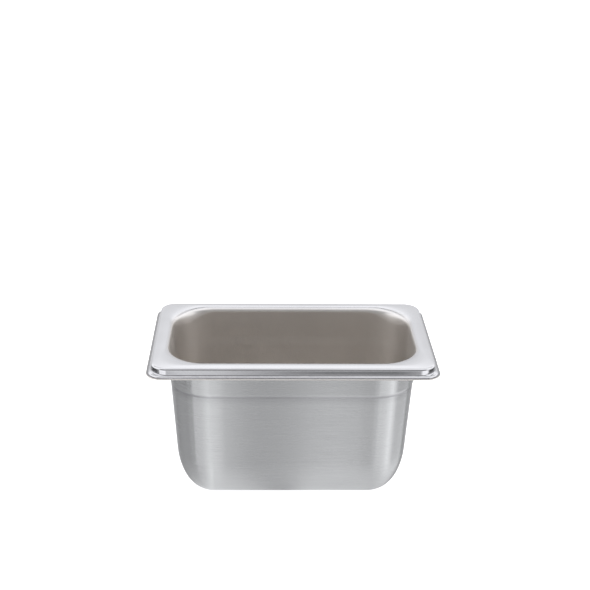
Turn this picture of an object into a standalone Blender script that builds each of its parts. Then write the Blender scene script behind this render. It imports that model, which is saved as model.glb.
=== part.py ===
"""Deli food pan: a ninth-size gastronorm pan, 100 mm deep, deep drawn from one stainless sheet.

The pan is one piece of metal, so it is one object. Its food side is a surface of horizontal rings,
each a rectangle with round corners. A section through the rim and the wall says, for each ring, its
inset from the rim's outer edge, its height over the flange and its corner radius. Solidify then
gives the sheet its thickness, on the side away from the food.

Frame: metres, +Z up, +X along the pan's longer side. The origin is under the middle of the floor.
"""

import math

import bmesh
import bpy

MM = 0.001

# Overall size, over the lip, and from the flange's top to the floor's underside.
LENGTH = 176 * MM
WIDTH = 108 * MM
DEPTH = 100 * MM
SHEET = 0.8 * MM

# Rim, from the outside in: a flared lip, a turned-down edge and a flat flange.
RIM_HEIGHT = 6.6 * MM
LIP_WIDTH = 3.0 * MM
LIP_SLOPE = math.radians(18)
LIP_BEND = 1.0 * MM
LIP_CORNER = 9.5 * MM
EDGE_BEND = 1.3 * MM
EDGE_CORNER = 10 * MM
FLANGE_WIDTH = 5.2 * MM
MOUTH_BEND = 3.0 * MM
MOUTH_CORNER = 22.5 * MM
WALL_CORNER = 26.5 * MM

# Wall: a nearly upright band, a small step inwards for stacking, then the drafted wall.
BAND_SLOPE = math.tan(math.radians(0.8))
SHOULDER_TOP = 22 * MM
SHOULDER_HEIGHT = 3.0 * MM
SHOULDER_STEP = 0.5 * MM
WALL_SLOPE = math.tan(math.radians(3.3))

# The heel, between wall and floor, is a quarter of an ellipse, taller than it is wide.
HEEL_HEIGHT = 32 * MM
HEEL_WIDTH = 17 * MM

CORNER_STEPS = 8
BEND_STEPS = 4
HEEL_STEPS = 8
SHARP_ANGLE = math.radians(40)

STEEL_COLOUR = (0.62, 0.62, 0.61, 1.0)
STEEL_ROUGHNESS = 0.32


def clear_scene():
    for item in list(bpy.data.objects):
        bpy.data.objects.remove(item, do_unlink=True)


def arc(centre, radius, start, end, steps):
    """Points (inset, height) on a circle, or an ellipse, from one angle to another, in degrees."""
    points = []
    for step in range(steps + 1):
        angle = math.radians(start + (end - start) * step / steps)
        inset = centre[0] + radius[0] * math.cos(angle)
        height = centre[1] + radius[1] * math.sin(angle)
        points.append((inset, height))
    return points


def lip_rings():
    """The lip, sloping up to its bend. Its corners are tighter than the turned-down edge's."""
    trim = SHEET - RIM_HEIGHT
    run = LIP_WIDTH - LIP_BEND * (1 - math.sin(LIP_SLOPE))
    bend_height = trim + run * math.tan(LIP_SLOPE) + LIP_BEND * math.cos(LIP_SLOPE)
    bend_centre = (LIP_WIDTH - LIP_BEND, bend_height)
    low = math.degrees(LIP_SLOPE) - 90
    points = [(0.0, trim)] + arc(bend_centre, (LIP_BEND, LIP_BEND), low, 0, BEND_STEPS)
    spread = (EDGE_CORNER - LIP_CORNER) / LIP_WIDTH
    return [(inset, height, LIP_CORNER + spread * inset) for inset, height in points]


def edge_rings():
    """The bend from the turned-down edge up to the flat flange."""
    centre = (LIP_WIDTH + EDGE_BEND, -EDGE_BEND)
    points = arc(centre, (EDGE_BEND, EDGE_BEND), 180, 90, BEND_STEPS)
    return [(inset, height, EDGE_CORNER + LIP_WIDTH - inset) for inset, height in points]


def shoulder_points(inset):
    """The stacking step, as one smooth S-shaped curve below the upright band."""
    points = []
    for step in range(BEND_STEPS + 1):
        part = step / BEND_STEPS
        ease = part * part * (3 - 2 * part)
        points.append((inset + SHOULDER_STEP * ease, -SHOULDER_TOP - SHOULDER_HEIGHT * part))
    return points


def heel_points(wall_inset, wall_height):
    """The heel's quarter ellipse, from where it touches the drafted wall to the flat floor."""
    floor = SHEET - DEPTH
    touch = math.atan(WALL_SLOPE * HEEL_HEIGHT / HEEL_WIDTH)
    top = floor + HEEL_HEIGHT * (1 - math.sin(touch))
    inset = wall_inset + (wall_height - top) * WALL_SLOPE
    centre = (inset + HEEL_WIDTH * math.cos(touch), floor + HEEL_HEIGHT)
    return arc(centre, (HEEL_WIDTH, HEEL_HEIGHT), 180 + math.degrees(touch), 270, HEEL_STEPS)


def bowl_rings():
    """The mouth's bend, where the corners grow rounder, and then the wall and the heel."""
    mouth = LIP_WIDTH + EDGE_BEND + FLANGE_WIDTH
    points = arc((mouth, -MOUTH_BEND), (MOUTH_BEND, MOUTH_BEND), 90, 0, BEND_STEPS)
    band_inset = points[-1][0] + (SHOULDER_TOP - MOUTH_BEND) * BAND_SLOPE
    points += shoulder_points(band_inset)
    points += heel_points(*points[-1])
    rings = []
    for inset, height in points:
        part = min((inset - mouth) / MOUTH_BEND, 1)
        corner = MOUTH_CORNER + (WALL_CORNER - MOUTH_CORNER) * part
        below = max(inset - mouth - MOUTH_BEND, 0)
        rings.append((inset, height, corner - below))
    return rings


def add_ring(mesh, inset, height, radius):
    """A rectangle with round corners, as a loop of vertices, anticlockwise seen from above."""
    middle_x = LENGTH / 2 - inset - radius
    middle_y = WIDTH / 2 - inset - radius
    ring = []
    for quarter, (side_x, side_y) in enumerate(((1, 1), (-1, 1), (-1, -1), (1, -1))):
        for step in range(CORNER_STEPS + 1):
            angle = math.pi / 2 * (quarter + step / CORNER_STEPS)
            x = side_x * middle_x + radius * math.cos(angle)
            y = side_y * middle_y + radius * math.sin(angle)
            ring.append(mesh.verts.new((x, y, DEPTH + height)))
    return ring


def bridge(mesh, outer, inner):
    """A band of quads between two rings, facing up and into the pan."""
    for here in range(len(outer)):
        after = (here + 1) % len(outer)
        mesh.faces.new((outer[here], outer[after], inner[after], inner[here]))


def steel_material():
    material = bpy.data.materials.new("stainless_steel")
    material.use_nodes = True
    shader = material.node_tree.nodes["Principled BSDF"]
    shader.inputs["Base Color"].default_value = STEEL_COLOUR
    shader.inputs["Metallic"].default_value = 1.0
    shader.inputs["Roughness"].default_value = STEEL_ROUGHNESS
    return material


def build_pan():
    mesh = bmesh.new()
    rings = [add_ring(mesh, *ring) for ring in lip_rings() + edge_rings() + bowl_rings()]
    for outer, inner in zip(rings, rings[1:]):
        bridge(mesh, outer, inner)
    mesh.faces.new(rings[-1])
    data = bpy.data.meshes.new("pan_body")
    mesh.to_mesh(data)
    mesh.free()
    data.shade_smooth()
    data.set_sharp_from_angle(angle=SHARP_ANGLE)
    data.materials.append(steel_material())
    pan = bpy.data.objects.new("pan_body", data)
    bpy.context.scene.collection.objects.link(pan)
    sheet = pan.modifiers.new("sheet", "SOLIDIFY")
    sheet.thickness = SHEET
    sheet.offset = -1
    sheet.use_even_offset = True
    return pan


clear_scene()
build_pan()
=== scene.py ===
"""The looks of the deli food pan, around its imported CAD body.

One finely stepped skin stands for the CAD node pan_body. It follows the CAD solid's section: a flared
lip, a turned-down edge, a flange, the mouth's bend, an upright band, a stacking step, a drafted wall
and an elliptical heel. It differs in a slight crest on the flange, a taller bend at the mouth's
corners, a softer stacking step on the food side, and a rounded edge where the sheet is trimmed.

Insets are measured inwards from the rim's outer edge and heights from the flange's top, in metres.
"""

import math

import bmesh
import bpy
from mathutils import Matrix, Vector


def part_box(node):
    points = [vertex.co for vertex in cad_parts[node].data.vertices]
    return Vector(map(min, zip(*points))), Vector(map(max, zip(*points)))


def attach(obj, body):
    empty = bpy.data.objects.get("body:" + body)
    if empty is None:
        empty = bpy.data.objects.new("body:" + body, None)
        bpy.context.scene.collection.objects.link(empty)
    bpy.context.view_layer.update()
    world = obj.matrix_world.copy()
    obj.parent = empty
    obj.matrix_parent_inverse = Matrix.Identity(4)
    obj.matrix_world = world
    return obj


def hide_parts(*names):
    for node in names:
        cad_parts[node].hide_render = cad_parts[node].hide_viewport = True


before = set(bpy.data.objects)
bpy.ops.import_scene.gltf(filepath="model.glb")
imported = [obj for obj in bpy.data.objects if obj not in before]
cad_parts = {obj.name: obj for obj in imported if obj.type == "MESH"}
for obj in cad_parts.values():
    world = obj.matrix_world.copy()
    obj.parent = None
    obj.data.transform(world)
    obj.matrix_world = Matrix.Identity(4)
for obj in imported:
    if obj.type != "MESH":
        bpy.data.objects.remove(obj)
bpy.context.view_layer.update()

MM = 0.001

# Overall size, from the CAD body.
PAN_LOW, PAN_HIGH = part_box("pan_body")
LENGTH = PAN_HIGH.x - PAN_LOW.x
WIDTH = PAN_HIGH.y - PAN_LOW.y
DEPTH = PAN_HIGH.z - PAN_LOW.z
SHEET = 0.8 * MM

# Rim: the CAD's lip, edge and mouth, and a flange that rises slightly to a soft crest by the mouth.
RIM_HEIGHT = 6.6 * MM
LIP_WIDTH = 3.0 * MM
LIP_SLOPE = math.radians(18)
LIP_BEND = 1.0 * MM
LIP_CORNER = 9.5 * MM
EDGE_BEND = 1.3 * MM
EDGE_CORNER = 10 * MM
FLANGE_TILT = math.radians(6)
CREST_BEND = 15 * MM
CREST_TILT = math.radians(8)
MOUTH_BEND = 3.0 * MM
MOUTH_CORNER = 22.5 * MM
WALL_INSET = 12.5 * MM
WALL_CORNER = 26.5 * MM

# The insets of the crest's top and of the start of the mouth's bend, and the trimmed edge's height.
CREST = WALL_INSET - MOUTH_BEND - (CREST_BEND - MOUTH_BEND) * math.sin(CREST_TILT)
MOUTH = CREST + CREST_BEND * math.sin(CREST_TILT)
TRIM = SHEET - RIM_HEIGHT

# The mouth's bend is this much taller at the corners, from this far below the flange's top.
CORNER_SAG = 5 * MM
SAG_START = 0.9 * MM

# Wall and heel, as in the CAD source. The food side spreads the stacking step over a greater height.
BAND_SLOPE = math.tan(math.radians(0.8))
SHOULDER_TOP = 22 * MM
SHOULDER_HEIGHT = 3.0 * MM
SHOULDER_STEP = 0.5 * MM
INNER_SHOULDER_HEIGHT = 9 * MM
WALL_SLOPE = math.tan(math.radians(3.3))
HEEL_HEIGHT = 32 * MM
HEEL_WIDTH = 17 * MM

# Steps of the fine skin.
BEND_STEPS = 12
HEEL_STEPS = 36
WALL_STEPS = 10
FLAT_STEPS = 4
CREST_STEPS = 10
CORNER_STEPS = 28
SIDE_STEPS = 12

# Lines of painted shade in the creases over the lip and where the mouth's bend starts, and a painted
# shade line at the stacking step. A reach is how far a line fades. A share is how strong a line is:
# END_SHARE is for the pan's two ends.
LIP_LINE = (LIP_WIDTH - LIP_BEND / 4, TRIM + LIP_BEND)
LIP_LINE_REACH = LIP_BEND
MOUTH_LINE = (MOUTH + MOUTH_BEND / 4, 0)
MOUTH_LINE_REACH = 0.8 * MM
MOUTH_LINE_SHARE = 0.6
END_SHARE = 0.15
STEP_LINE_HEIGHT = -SHOULDER_TOP - 2.1 * MM
STEP_LINE_REACH = 1.5 * MM

# Camera: it looks at the middle of the pan's height, from this far away and this high. It stands a
# little to the left of straight in front, and is slightly rolled.
VIEW_DISTANCE = 0.7573
VIEW_ELEVATION = math.radians(27.24)
VIEW_TURN = math.radians(1.67)
VIEW_ROLL = math.radians(0.82)
LENS_MM = 71.46
SENSOR_MM = 36
SHIFT = (0.0069, 0.1856)

# Floor and backdrop: both are matt and glow.
WHITE = (1, 1, 1, 1)
BLACK = (0, 0, 0, 1)
MATT_ROUGHNESS = 0.9
FLOOR_SIZE = 40
FLOOR_GAP = 0.2 * MM
FLOOR_COLOUR = (0.9, 0.9, 0.9, 1)
FLOOR_GLOW = 0.75
BACKDROP_RADIUS = 8
BACKDROP_SEGMENTS = 48
BACKDROP_RINGS = 24
BACKDROP_GLOW = 1.0

# Steel: the skin's two materials and its two attributes. Polish is 1 on the rim and 0 inside. The
# shade-line attribute is how strong the painted crease shade is on the food side, and how strong the
# painted shade line at the stacking step is on the outside. A pair of roughnesses, shades or specks
# is the range that a noise spreads over.
FOOD_SIDE = 0
OUTSIDE = 1
POLISH = "polish"
SHADE_LINES = "shade_lines"
RIM_COLOUR = (0.595, 0.595, 0.61, 1)
INSIDE_COLOUR = (0.72, 0.688, 0.655, 1)
# Painted shade: the dark colour of the crease lines over the lip and by the mouth's bend.
CREASE_SHADE_COLOUR = (0.40, 0.40, 0.42, 1)
# Painted shade: the dark colour of the line at the outside's stacking step.
STEP_SHADE_COLOUR = (0.42, 0.42, 0.43, 1)
OUTSIDE_COLOURS = ((0.585, 0.59, 0.593, 1), (0.61, 0.615, 0.615, 1))
RIM_ROUGHNESS = (0.12, 0.17)
INSIDE_ROUGHNESS = (0.42, 0.50)
OUTSIDE_ROUGHNESS = (0.22, 0.28)
CLOUD_SHADES = (0.93, 1.05)
SHADE_SPECKS = (0.1, 1.0)
ANISOTROPY = 1.0
QUARTER_TURN = 0.25

# Grain: how often each noise repeats along X, Y and Z, per metre, then its detail and its roughness.
BRUSH_GRAIN = ((24, 24, 900), 5, 0.65)
FINE_GRAIN = ((60, 60, 4200), 3, 0.6)
WALL_WAVES = ((22, 22, 2), 1, 0.4)
SATIN_GRAIN = ((380, 380, 900), 5, 0.6)
CLOUDS = ((16, 16, 16), 3, 0.5)
NOISE_RANGE = (0.3, 0.7)

# How deep the bumps are that the noises stand for.
BRUSH_BUMP = 0.0006 * MM
SATIN_BUMP = 0.004 * MM
WAVE_BUMP = 0.06 * MM
CLOUD_BUMP = 0.06 * MM

# Studio. Light levels are linear, up to LEVEL_RANGE. SWEEP is by the angle over the pan in degrees,
# from the horizon behind it (0), by overhead (90), to the horizon in front (180), with angles below
# zero under the horizon. ACROSS is by the X of a direction, from the left (-1) to the right (1). It
# takes over below the horizon, between the two values of a direction's Z in HORIZON.
STUDIO_TINT = (0.985, 0.99, 1.01)
LEVEL_RANGE = 2.0
SWEEP = (
    (-180, 0.38),
    (-90, 0.75),
    (0, 0.80),
    (10, 0.92),
    (24, 1.12),
    (31, 1.50),
    (44, 1.60),
    (50, 0.45),
    (55, 0.45),
    (60, 1.55),
    (66, 1.35),
    (90, 1.35),
    (112, 0.95),
    (128, 0.50),
    (155, 0.38),
    (180, 0.38),
)
ACROSS = (
    (-1.0, 0.80),
    (-0.88, 0.55),
    (-0.82, 0.36),
    (-0.78, 0.45),
    (-0.66, 0.60),
    (-0.48, 0.76),
    (-0.27, 1.04),
    (-0.05, 1.34),
    (-0.014, 0.38),
    (0.018, 0.60),
    (0.068, 1.36),
    (0.090, 0.66),
    (0.12, 0.85),
    (0.27, 0.86),
    (0.45, 0.90),
    (0.55, 0.98),
    (0.68, 1.15),
    (0.76, 1.55),
    (0.82, 0.95),
    (0.88, 0.60),
    (1.0, 0.80),
)
HORIZON = (-0.14, -0.26)

# Two long lamps overhead, left and right of the middle: the X where they start and where they end,
# and their middle, half length and softness in degrees over the pan.
LAMPS_ACROSS = (0.03, 0.12)
LAMPS_END = (0.85, 0.70)
LAMPS_OVER = (98, 26, 10)
LAMP_LEVEL = 1.5

# The light at both ends of the pan: the X and the Z between which it comes in.
ENDS_ACROSS = (0.60, 0.85)
ENDS_UP = (-0.04, 0.06)
ENDS_LEVEL = 1.6

# Cards: turn from the front, half width, rise, half height and softness, in degrees, and the level.
CARDS = (
    (-7.2, 1.4, -25, 2.6, 1.4, 0.30),
    (-34, 22, -22, 5, 3, 1.70),
    (-98, 27, -22, 5, 3, 0.05),
    (-2.6, 2.2, -25.5, 2.4, 2, 0.95),
    (5.5, 4.5, -25.5, 3, 2.5, 0.12),
    (40, 20, -22, 5, 3, 1.70),
    (98, 27, -22, 5, 3, 0.05),
    (-138, 13, -32, 18, 6, 0.40),
    (138, 13, -32, 18, 6, 0.40),
)


def blend(start, end, part):
    """A point between two others."""
    return tuple(a + (b - a) * part for a, b in zip(start, end))


def between(start, end, steps):
    """The points of a straight stretch, without its first and last."""
    return [blend(start, end, step / steps) for step in range(1, steps)]


def ease(part):
    """A smooth step from 0 to 1."""
    part = min(max(part, 0), 1)
    return part * part * (3 - 2 * part)


def arc(centre, radius, start, end, steps):
    """Points (inset, height) on a circle, or an ellipse, from one angle to another, in degrees."""
    points = []
    for step in range(steps + 1):
        angle = math.radians(start + (end - start) * step / steps)
        inset = centre[0] + radius[0] * math.cos(angle)
        height = centre[1] + radius[1] * math.sin(angle)
        points.append((inset, height))
    return points


def lip_rings():
    """The sloping lip and its bend, as (inset, height, corner radius)."""
    run = LIP_WIDTH - LIP_BEND * (1 - math.sin(LIP_SLOPE))
    bend_height = TRIM + run * math.tan(LIP_SLOPE) + LIP_BEND * math.cos(LIP_SLOPE)
    bend_centre = (LIP_WIDTH - LIP_BEND, bend_height)
    low = math.degrees(LIP_SLOPE) - 90
    points = [(SHEET / 2, TRIM + SHEET / 2 * math.tan(LIP_SLOPE))]
    points += arc(bend_centre, (LIP_BEND, LIP_BEND), low, 0, BEND_STEPS)
    spread = (EDGE_CORNER - LIP_CORNER) / LIP_WIDTH
    return [(inset, height, LIP_CORNER + spread * inset) for inset, height in points]


def edge_rings():
    """The bend from the turned-down edge up to the flange's outer slope."""
    inset = LIP_WIDTH + EDGE_BEND
    run = (CREST - inset - (CREST_BEND - EDGE_BEND) * math.sin(FLANGE_TILT)) / math.cos(FLANGE_TILT)
    crest_drop = CREST_BEND * (1 - math.cos(FLANGE_TILT))
    height = -crest_drop - run * math.sin(FLANGE_TILT) - EDGE_BEND * math.cos(FLANGE_TILT)
    top = 90 + math.degrees(FLANGE_TILT)
    points = arc((inset, height), (EDGE_BEND, EDGE_BEND), 180, top, BEND_STEPS)
    return [(inset, height, EDGE_CORNER + LIP_WIDTH - inset) for inset, height in points]


def crest_points():
    """The soft crest between the flange's outer slope and the mouth's bend, without its end."""
    outer = 90 + math.degrees(FLANGE_TILT)
    inner = 90 - math.degrees(CREST_TILT)
    points = arc((CREST, -CREST_BEND), (CREST_BEND, CREST_BEND), outer, inner, CREST_STEPS)
    return points[:-1]


def shoulder_points(inset, tall):
    """The stacking step, as one smooth S-shaped curve across the bottom of the upright band."""
    middle = -SHOULDER_TOP - SHOULDER_HEIGHT / 2
    points = []
    for step in range(BEND_STEPS + 1):
        part = step / BEND_STEPS
        points.append((inset + SHOULDER_STEP * ease(part), middle + tall * (0.5 - part)))
    return points


def heel_points(wall_inset, wall_height):
    """The drafted wall, and the heel's quarter ellipse down to the flat floor."""
    floor = SHEET - DEPTH
    touch = math.atan(WALL_SLOPE * HEEL_HEIGHT / HEEL_WIDTH)
    top = floor + HEEL_HEIGHT * (1 - math.sin(touch))
    inset = wall_inset + (wall_height - top) * WALL_SLOPE
    centre = (inset + HEEL_WIDTH * math.cos(touch), floor + HEEL_HEIGHT)
    heel = arc(centre, (HEEL_WIDTH, HEEL_HEIGHT), 180 + math.degrees(touch), 270, HEEL_STEPS)
    return between((wall_inset, wall_height), heel[0], WALL_STEPS) + heel


def bowl_corner(inset):
    """The corner radius: it grows down the mouth's bend, and then runs parallel to the wall."""
    if inset > WALL_INSET:
        return WALL_CORNER + WALL_INSET - inset
    part = (inset - MOUTH) / (WALL_INSET - MOUTH)
    return MOUTH_CORNER + (WALL_CORNER - MOUTH_CORNER) * part


def bowl_rings(step_tall):
    """The mouth's bend, the wall and the heel, with the stacking step spread over a height."""
    drop = (CREST_BEND - MOUTH_BEND) * math.cos(CREST_TILT) - CREST_BEND
    centre = (WALL_INSET - MOUTH_BEND, drop)
    top = 90 - math.degrees(CREST_TILT)
    points = arc(centre, (MOUTH_BEND, MOUTH_BEND), top, 0, BEND_STEPS)
    band_inset = WALL_INSET + (SHOULDER_TOP + drop) * BAND_SLOPE
    shoulder = shoulder_points(band_inset, step_tall)
    points += between(points[-1], shoulder[0], WALL_STEPS) + shoulder
    points += heel_points(*shoulder[-1])
    return [(inset, height, bowl_corner(inset)) for inset, height in points]


def food_rings(step_tall):
    """The food side's rings, from the lip's trimmed edge to the floor."""
    lip, edge, bowl = lip_rings(), edge_rings(), bowl_rings(step_tall)
    skirt = between(lip[-1], edge[0], FLAT_STEPS)
    crest = crest_points()
    start, start_height, start_corner = edge[-1]
    end, _, end_corner = bowl[0]
    flange = []
    for inset, height in between((start, start_height), crest[0], FLAT_STEPS) + crest:
        part = (inset - start) / (end - start)
        flange.append((inset, height, start_corner + (end_corner - start_corner) * part))
    return lip + skirt + edge + flange + bowl


def section_normal(rings, here):
    """The section's unit normal (inset, height) at a ring, away from the food side."""
    total = Vector((0, 0))
    for a, b in ((max(here - 1, 0), here), (here, min(here + 1, len(rings) - 1))):
        along = Vector(rings[b][:2]) - Vector(rings[a][:2])
        if along.length > 0:
            total += along.normalized()
    total.normalize()
    return Vector((total.y, -total.x))


def outer_rings():
    """The underside's rings, one sheet thickness away, from the floor back to the lip."""
    food = food_rings(SHOULDER_HEIGHT)
    rings = []
    for here, (inset, height, radius) in enumerate(food):
        step = section_normal(food, here) * SHEET
        rings.append((inset + step.x, height + step.y, radius - step.x))
    return rings[::-1]


def trim_rings(food, outer):
    """The rounded edge between the food side's first ring and the underside's last, going up."""
    centre = blend(food, outer, 0.5)
    radius = SHEET / 2
    points = arc(centre, (radius, radius), 270, 90, BEND_STEPS)
    return [(inset, height, food[2]) for inset, height in points[1:-1]]


def corner_sag(inset, height):
    """How much lower a ring of the bowl runs at the middle of its corners than along its sides."""
    if inset < MOUTH:
        return 0
    into_bend = ease((-height - SAG_START) / (MOUTH_BEND - SAG_START))
    above_step = ease((height + SHOULDER_TOP) / (SHOULDER_TOP - MOUTH_BEND))
    return CORNER_SAG * into_bend * above_step


def add_ring(mesh, inset, height, radius):
    """A rectangle with round corners, as a loop of vertices, anticlockwise seen from above."""
    middle_x = LENGTH / 2 - inset - radius
    middle_y = WIDTH / 2 - inset - radius
    sag = corner_sag(inset, height)
    corners = []
    for quarter, (side_x, side_y) in enumerate(((1, 1), (-1, 1), (-1, -1), (1, -1))):
        for step in range(CORNER_STEPS + 1):
            angle = math.pi / 2 * (quarter + step / CORNER_STEPS)
            x = side_x * middle_x + radius * math.cos(angle)
            y = side_y * middle_y + radius * math.sin(angle)
            corners.append((x, y, DEPTH + height - sag * math.sin(2 * angle) ** 2))
    ring = []
    for here, point in enumerate(corners):
        ring.append(point)
        if here % (CORNER_STEPS + 1) == CORNER_STEPS:
            ring += between(point, corners[(here + 1) % len(corners)], SIDE_STEPS)
    return [mesh.verts.new(point) for point in ring]


def add_face(mesh, corners, material):
    face = mesh.faces.new(corners)
    face.material_index = material
    face.smooth = True


def bridge(mesh, loops, material):
    """Bands of quads, each between a loop and the next one."""
    for outer, inner in zip(loops, loops[1:]):
        for here in range(len(outer)):
            after = (here + 1) % len(outer)
            corners = (outer[here], outer[after], inner[after], inner[here])
            add_face(mesh, corners, material)


def polish_of(ring):
    """How polished a food-side ring is: 1 on the rim, fading to 0 down the mouth's bend."""
    down = (ring[0] - MOUTH) / (WALL_INSET - MOUTH)
    return 1 - min(max(down, 0), 1) ** 2


def crease_shade_of(ring):
    """How strong the painted crease shade is at a food-side ring, on the pan's long sides."""
    inset, height = ring[:2]
    from_lip = abs(inset - LIP_LINE[0]) + abs(height - LIP_LINE[1])
    from_mouth = math.dist((inset, height), MOUTH_LINE)
    lip = 1 - from_lip / LIP_LINE_REACH
    mouth = MOUTH_LINE_SHARE * (1 - from_mouth / MOUTH_LINE_REACH)
    return max(lip, mouth, 0)


def long_side_share(ring, y):
    """1 along the long sides, where the painted crease shade is full, and less round the corners and
    along the ends.
    """
    inset, _, radius = ring
    part = (abs(y) - (WIDTH / 2 - inset - radius)) / radius
    return END_SHARE + (1 - END_SHARE) * ease(part)


def step_shade_of(ring):
    """How strong the painted shade line at the stacking step is on an outside ring, from 0 to 1."""
    away = abs(ring[1] - STEP_LINE_HEIGHT)
    return max(1 - away / STEP_LINE_REACH, 0)


def finish_mesh(name, mesh):
    """The working mesh as mesh data. The working mesh is freed."""
    data = bpy.data.meshes.new(name)
    mesh.to_mesh(data)
    mesh.free()
    return data


def add_object(name, data):
    thing = bpy.data.objects.new(name, data)
    bpy.context.scene.collection.objects.link(thing)
    return thing


def build_pan():
    """The pan's closed skin: the food side with the rim, the outside, and the trimmed edge."""
    food = food_rings(INNER_SHOULDER_HEIGHT)
    outer = outer_rings()
    mesh = bmesh.new()
    polish = mesh.verts.layers.float.new(POLISH)
    shade_lines = mesh.verts.layers.float.new(SHADE_LINES)
    food_loops = [add_ring(mesh, *ring) for ring in food]
    outer_loops = [add_ring(mesh, *ring) for ring in outer]
    trim_loops = [add_ring(mesh, *ring) for ring in trim_rings(food[0], outer[-1])]
    for loop, ring in zip(food_loops, food):
        for vertex in loop:
            vertex[polish] = polish_of(ring)
            # Painted crease shade along the lip and the mouth's bend, weaker at the pan's ends.
            vertex[shade_lines] = crease_shade_of(ring) * long_side_share(ring, vertex.co.y)
    for loop, ring in zip(outer_loops, outer):
        for vertex in loop:
            # Painted shade line at the stacking step on the outside.
            vertex[shade_lines] = step_shade_of(ring)
    bridge(mesh, food_loops, FOOD_SIDE)
    bridge(mesh, outer_loops, OUTSIDE)
    bridge(mesh, [outer_loops[-1], *trim_loops, food_loops[0]], FOOD_SIDE)
    add_face(mesh, food_loops[-1], FOOD_SIDE)
    add_face(mesh, outer_loops[0][::-1], OUTSIDE)
    data = finish_mesh("pan_skin", mesh)
    data.materials.append(food_side_material())
    data.materials.append(outside_material())
    return add_object("pan_skin", data)


def new_material(name):
    """A material, its node tree and its Principled shader."""
    material = bpy.data.materials.new(name)
    material.use_nodes = True
    tree = material.node_tree
    return material, tree, tree.nodes["Principled BSDF"]


def set_inputs(tree, node, inputs):
    """A node's inputs by name or number, each set to a value or linked to another node's output."""
    for key, value in inputs.items():
        if isinstance(value, bpy.types.NodeSocket):
            tree.links.new(value, node.inputs[key])
        else:
            node.inputs[key].default_value = value


def add_node(tree, kind, inputs, **settings):
    node = tree.nodes.new(kind)
    for name, value in settings.items():
        setattr(node, name, value)
    set_inputs(tree, node, inputs)
    return node


def maths(tree, operation, *values):
    inputs = dict(enumerate(values))
    return add_node(tree, "ShaderNodeMath", inputs, operation=operation).outputs[0]


def scaled(tree, vector, factor):
    """A colour times a number."""
    inputs = {0: vector, "Scale": factor}
    return add_node(tree, "ShaderNodeVectorMath", inputs, operation="SCALE").outputs[0]


def map_range(tree, value, start, end, low=0.0, high=1.0, **settings):
    """A number that goes from low to high while the value goes from start to end."""
    inputs = {"Value": value, "From Min": start, "From Max": end, "To Min": low, "To Max": high}
    return add_node(tree, "ShaderNodeMapRange", inputs, **settings).outputs["Result"]


def mix_colours(tree, part, first, second):
    """A colour Mix node. Its inputs 0, 6 and 7 are the factor and the two colours."""
    inputs = {0: part, 6: first, 7: second}
    return add_node(tree, "ShaderNodeMix", inputs, data_type="RGBA").outputs[2]


def attribute(tree, name):
    return add_node(tree, "ShaderNodeAttribute", {}, attribute_name=name).outputs["Fac"]


def streaks(tree, stretch, detail, roughness):
    """Noise drawn out along the grain: stretch is how often it repeats along X, Y and Z, per metre."""
    place = add_node(tree, "ShaderNodeTexCoord", {}).outputs["Object"]
    inputs = {0: place, 1: stretch}
    drawn_out = add_node(tree, "ShaderNodeVectorMath", inputs, operation="MULTIPLY").outputs[0]
    inputs = {"Vector": drawn_out, "Scale": 1.0, "Detail": detail, "Roughness": roughness}
    return add_node(tree, "ShaderNodeTexNoise", inputs).outputs["Fac"]


def vary(tree, noise, low, high):
    """The noise's middle range, spread between two values."""
    return map_range(tree, noise, *NOISE_RANGE, low, high)


def bumps(tree, layers):
    """Bumps laid over each other: each layer is its height and the distance it stands for."""
    inputs = {"Strength": 1.0}
    for height, distance in layers:
        inputs.update({"Height": height, "Distance": distance})
        inputs["Normal"] = add_node(tree, "ShaderNodeBump", inputs).outputs["Normal"]
    return inputs["Normal"]


def food_side_material():
    """A polished rim, with painted crease shade over the lip, that turns into a warm satin inside."""
    material, tree, shader = new_material("steel_food_side")
    polish = attribute(tree, POLISH)
    satin = streaks(tree, *SATIN_GRAIN)
    clouds = streaks(tree, *CLOUDS)
    # Painted shade in the creases, broken into specks by the satin grain.
    crease_shade = maths(tree, "MULTIPLY", attribute(tree, SHADE_LINES), vary(tree, satin, *SHADE_SPECKS))
    steel = mix_colours(tree, polish, INSIDE_COLOUR, RIM_COLOUR)
    shaded_steel = mix_colours(tree, crease_shade, steel, CREASE_SHADE_COLOUR)
    inside = vary(tree, satin, *INSIDE_ROUGHNESS)
    rim = vary(tree, clouds, *RIM_ROUGHNESS)
    inputs = {
        "Base Color": scaled(tree, shaded_steel, vary(tree, clouds, *CLOUD_SHADES)),
        "Metallic": 1.0,
        "Roughness": map_range(tree, polish, 0.0, 1.0, inside, rim),
        "Normal": bumps(tree, ((satin, SATIN_BUMP), (clouds, CLOUD_BUMP))),
    }
    set_inputs(tree, shader, inputs)
    return material


def outside_material():
    """Brushed level with the rim: streaks in colour, roughness and height, on a faintly wavy wall.
    A painted shade line runs along the stacking step.
    """
    material, tree, shader = new_material("steel_outside")
    brush = streaks(tree, *BRUSH_GRAIN)
    fine = streaks(tree, *FINE_GRAIN)
    waves = streaks(tree, *WALL_WAVES)
    steel = mix_colours(tree, vary(tree, brush, 0.0, 1.0), *OUTSIDE_COLOURS)
    around = add_node(tree, "ShaderNodeTangent", {}, direction_type="RADIAL", axis="Z")
    inputs = {
        # Painted shade: a dark line at the stacking step.
        "Base Color": mix_colours(tree, attribute(tree, SHADE_LINES), steel, STEP_SHADE_COLOUR),
        "Metallic": 1.0,
        "Roughness": vary(tree, fine, *OUTSIDE_ROUGHNESS),
        "Anisotropic": ANISOTROPY,
        "Anisotropic Rotation": QUARTER_TURN,
        "Tangent": around.outputs["Tangent"],
        "Normal": bumps(tree, ((waves, WAVE_BUMP), (brush, BRUSH_BUMP))),
    }
    set_inputs(tree, shader, inputs)
    return material


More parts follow.
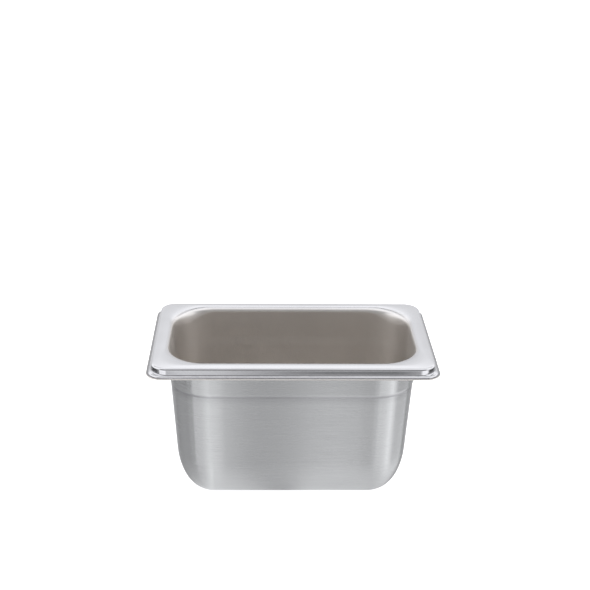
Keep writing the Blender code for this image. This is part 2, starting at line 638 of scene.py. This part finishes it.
def matt_material(name, colour, glow):
    """Paint with no gloss, that also glows white."""
    material, tree, shader = new_material(name)
    inputs = {
        "Base Color": colour,
        "Roughness": MATT_ROUGHNESS,
        "Specular IOR Level": 0.0,
        "Emission Color": WHITE,
        "Emission Strength": glow,
    }
    set_inputs(tree, shader, inputs)
    return material


def build_floor():
    """A pale floor just under the pan, which the steel doesn't mirror."""
    half = FLOOR_SIZE / 2
    corners = [(-half, -half, 0), (half, -half, 0), (half, half, 0), (-half, half, 0)]
    data = bpy.data.meshes.new("studio_floor")
    data.from_pydata(corners, [], [(0, 1, 2, 3)])
    data.materials.append(matt_material("studio_floor", FLOOR_COLOUR, FLOOR_GLOW))
    floor = add_object("studio_floor", data)
    floor.location.z = PAN_LOW.z - FLOOR_GAP
    floor.visible_glossy = False


def build_backdrop():
    """A plain white dome that only the camera sees, in front of the studio's light."""
    mesh = bmesh.new()
    bmesh.ops.create_uvsphere(
        mesh, u_segments=BACKDROP_SEGMENTS, v_segments=BACKDROP_RINGS, radius=BACKDROP_RADIUS
    )
    data = finish_mesh("studio_backdrop", mesh)
    data.materials.append(matt_material("studio_backdrop", BLACK, BACKDROP_GLOW))
    backdrop = add_object("studio_backdrop", data)
    backdrop.visible_glossy = False
    backdrop.visible_diffuse = False
    backdrop.visible_shadow = False
    backdrop.visible_transmission = False


def fade(tree, value, start, end):
    """0 at start and 1 at end, smoothly."""
    return map_range(tree, value, start, end, interpolation_type="SMOOTHSTEP")


def window(tree, angle, centre, half, soft):
    """1 inside a range of angles and 0 outside. The angle is in radians, the rest in degrees."""
    away = maths(tree, "ABSOLUTE", maths(tree, "SUBTRACT", angle, math.radians(centre)))
    return fade(tree, away, math.radians(half + soft), math.radians(half - soft))


def levels(tree, value, stops):
    """The light level at a value, between its stops, which run from one end to its opposite."""
    end = stops[-1][0]
    place = maths(tree, "DIVIDE", maths(tree, "ADD", value, end), 2 * end)
    ramp = add_node(tree, "ShaderNodeValToRGB", {"Fac": place})
    elements = ramp.color_ramp.elements
    elements.remove(elements[1])
    for here, (at, level) in enumerate(stops):
        stop = elements[0] if here == 0 else elements.new((at + end) / (2 * end))
        stop.color = (level / LEVEL_RANGE,) * 3 + (1,)
    return maths(tree, "MULTIPLY", ramp.outputs["Color"], LEVEL_RANGE)


def mix(tree, part, first, second):
    """The first number where the part is 0, and the second where it is 1."""
    change = maths(tree, "SUBTRACT", second, first)
    return maths(tree, "ADD", first, maths(tree, "MULTIPLY", part, change))


def light_above(tree, x, y, z):
    """The sweep over the pan, with two long lamps in it and the light at the pan's ends."""
    over = maths(tree, "ARCTAN2", z, y)
    side = maths(tree, "ABSOLUTE", x)
    light = levels(tree, maths(tree, "DEGREES", over), SWEEP)
    lamps = maths(tree, "MULTIPLY", fade(tree, side, *LAMPS_ACROSS), window(tree, over, *LAMPS_OVER))
    lamps = maths(tree, "MULTIPLY", lamps, fade(tree, side, *LAMPS_END))
    light = mix(tree, lamps, light, LAMP_LEVEL)
    ends = maths(tree, "MULTIPLY", fade(tree, side, *ENDS_ACROSS), fade(tree, z, *ENDS_UP))
    return mix(tree, ends, light, ENDS_LEVEL)


def with_cards(tree, x, y, z, light):
    """The light with soft-edged cards in front of it, each over the ones before."""
    turn = maths(tree, "ARCTAN2", x, maths(tree, "MULTIPLY", y, -1.0))
    rise = maths(tree, "ARCSINE", z)
    for card_turn, half_width, card_rise, half_height, soft, level in CARDS:
        across = window(tree, turn, card_turn, half_width, soft)
        up = window(tree, rise, card_rise, half_height, soft)
        light = mix(tree, maths(tree, "MULTIPLY", across, up), light, level)
    return light


def build_world():
    """A soft studio, by direction: one sweep of light over the pan, bands below it, and cards."""
    world = bpy.data.worlds.new("studio")
    world.use_nodes = True
    bpy.context.scene.world = world
    tree = world.node_tree
    direction = add_node(tree, "ShaderNodeTexCoord", {}).outputs["Generated"]
    x, y, z = add_node(tree, "ShaderNodeSeparateXYZ", {0: direction}).outputs
    below = fade(tree, z, *HORIZON)
    light = mix(tree, below, light_above(tree, x, y, z), levels(tree, x, ACROSS))
    light = with_cards(tree, x, y, z, light)
    inputs = {"Color": scaled(tree, STUDIO_TINT, light), "Strength": 1.0}
    set_inputs(tree, tree.nodes["Background"], inputs)


def build_camera():
    """The camera at its place in front of the pan, aimed, rolled and shifted."""
    aim = Vector((0, 0, PAN_LOW.z + DEPTH / 2))
    level = VIEW_DISTANCE * math.cos(VIEW_ELEVATION)
    rise = VIEW_DISTANCE * math.sin(VIEW_ELEVATION)
    place = aim + Vector((-level * math.sin(VIEW_TURN), -level * math.cos(VIEW_TURN), rise))
    data = bpy.data.cameras.new("camera")
    data.lens = LENS_MM
    data.sensor_width = SENSOR_MM
    data.shift_x, data.shift_y = SHIFT
    camera = add_object("camera", data)
    turn = (aim - place).to_track_quat("-Z", "Y").to_matrix().to_4x4()
    camera.matrix_world = Matrix.Translation(place) @ turn @ Matrix.Rotation(VIEW_ROLL, 4, "Z")
    bpy.context.scene.camera = camera


bpy.context.scene.view_settings.view_transform = "Standard"
pan = build_pan()
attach(pan, "root")
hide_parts("pan_body")
build_floor()
build_backdrop()
build_world()
build_camera()
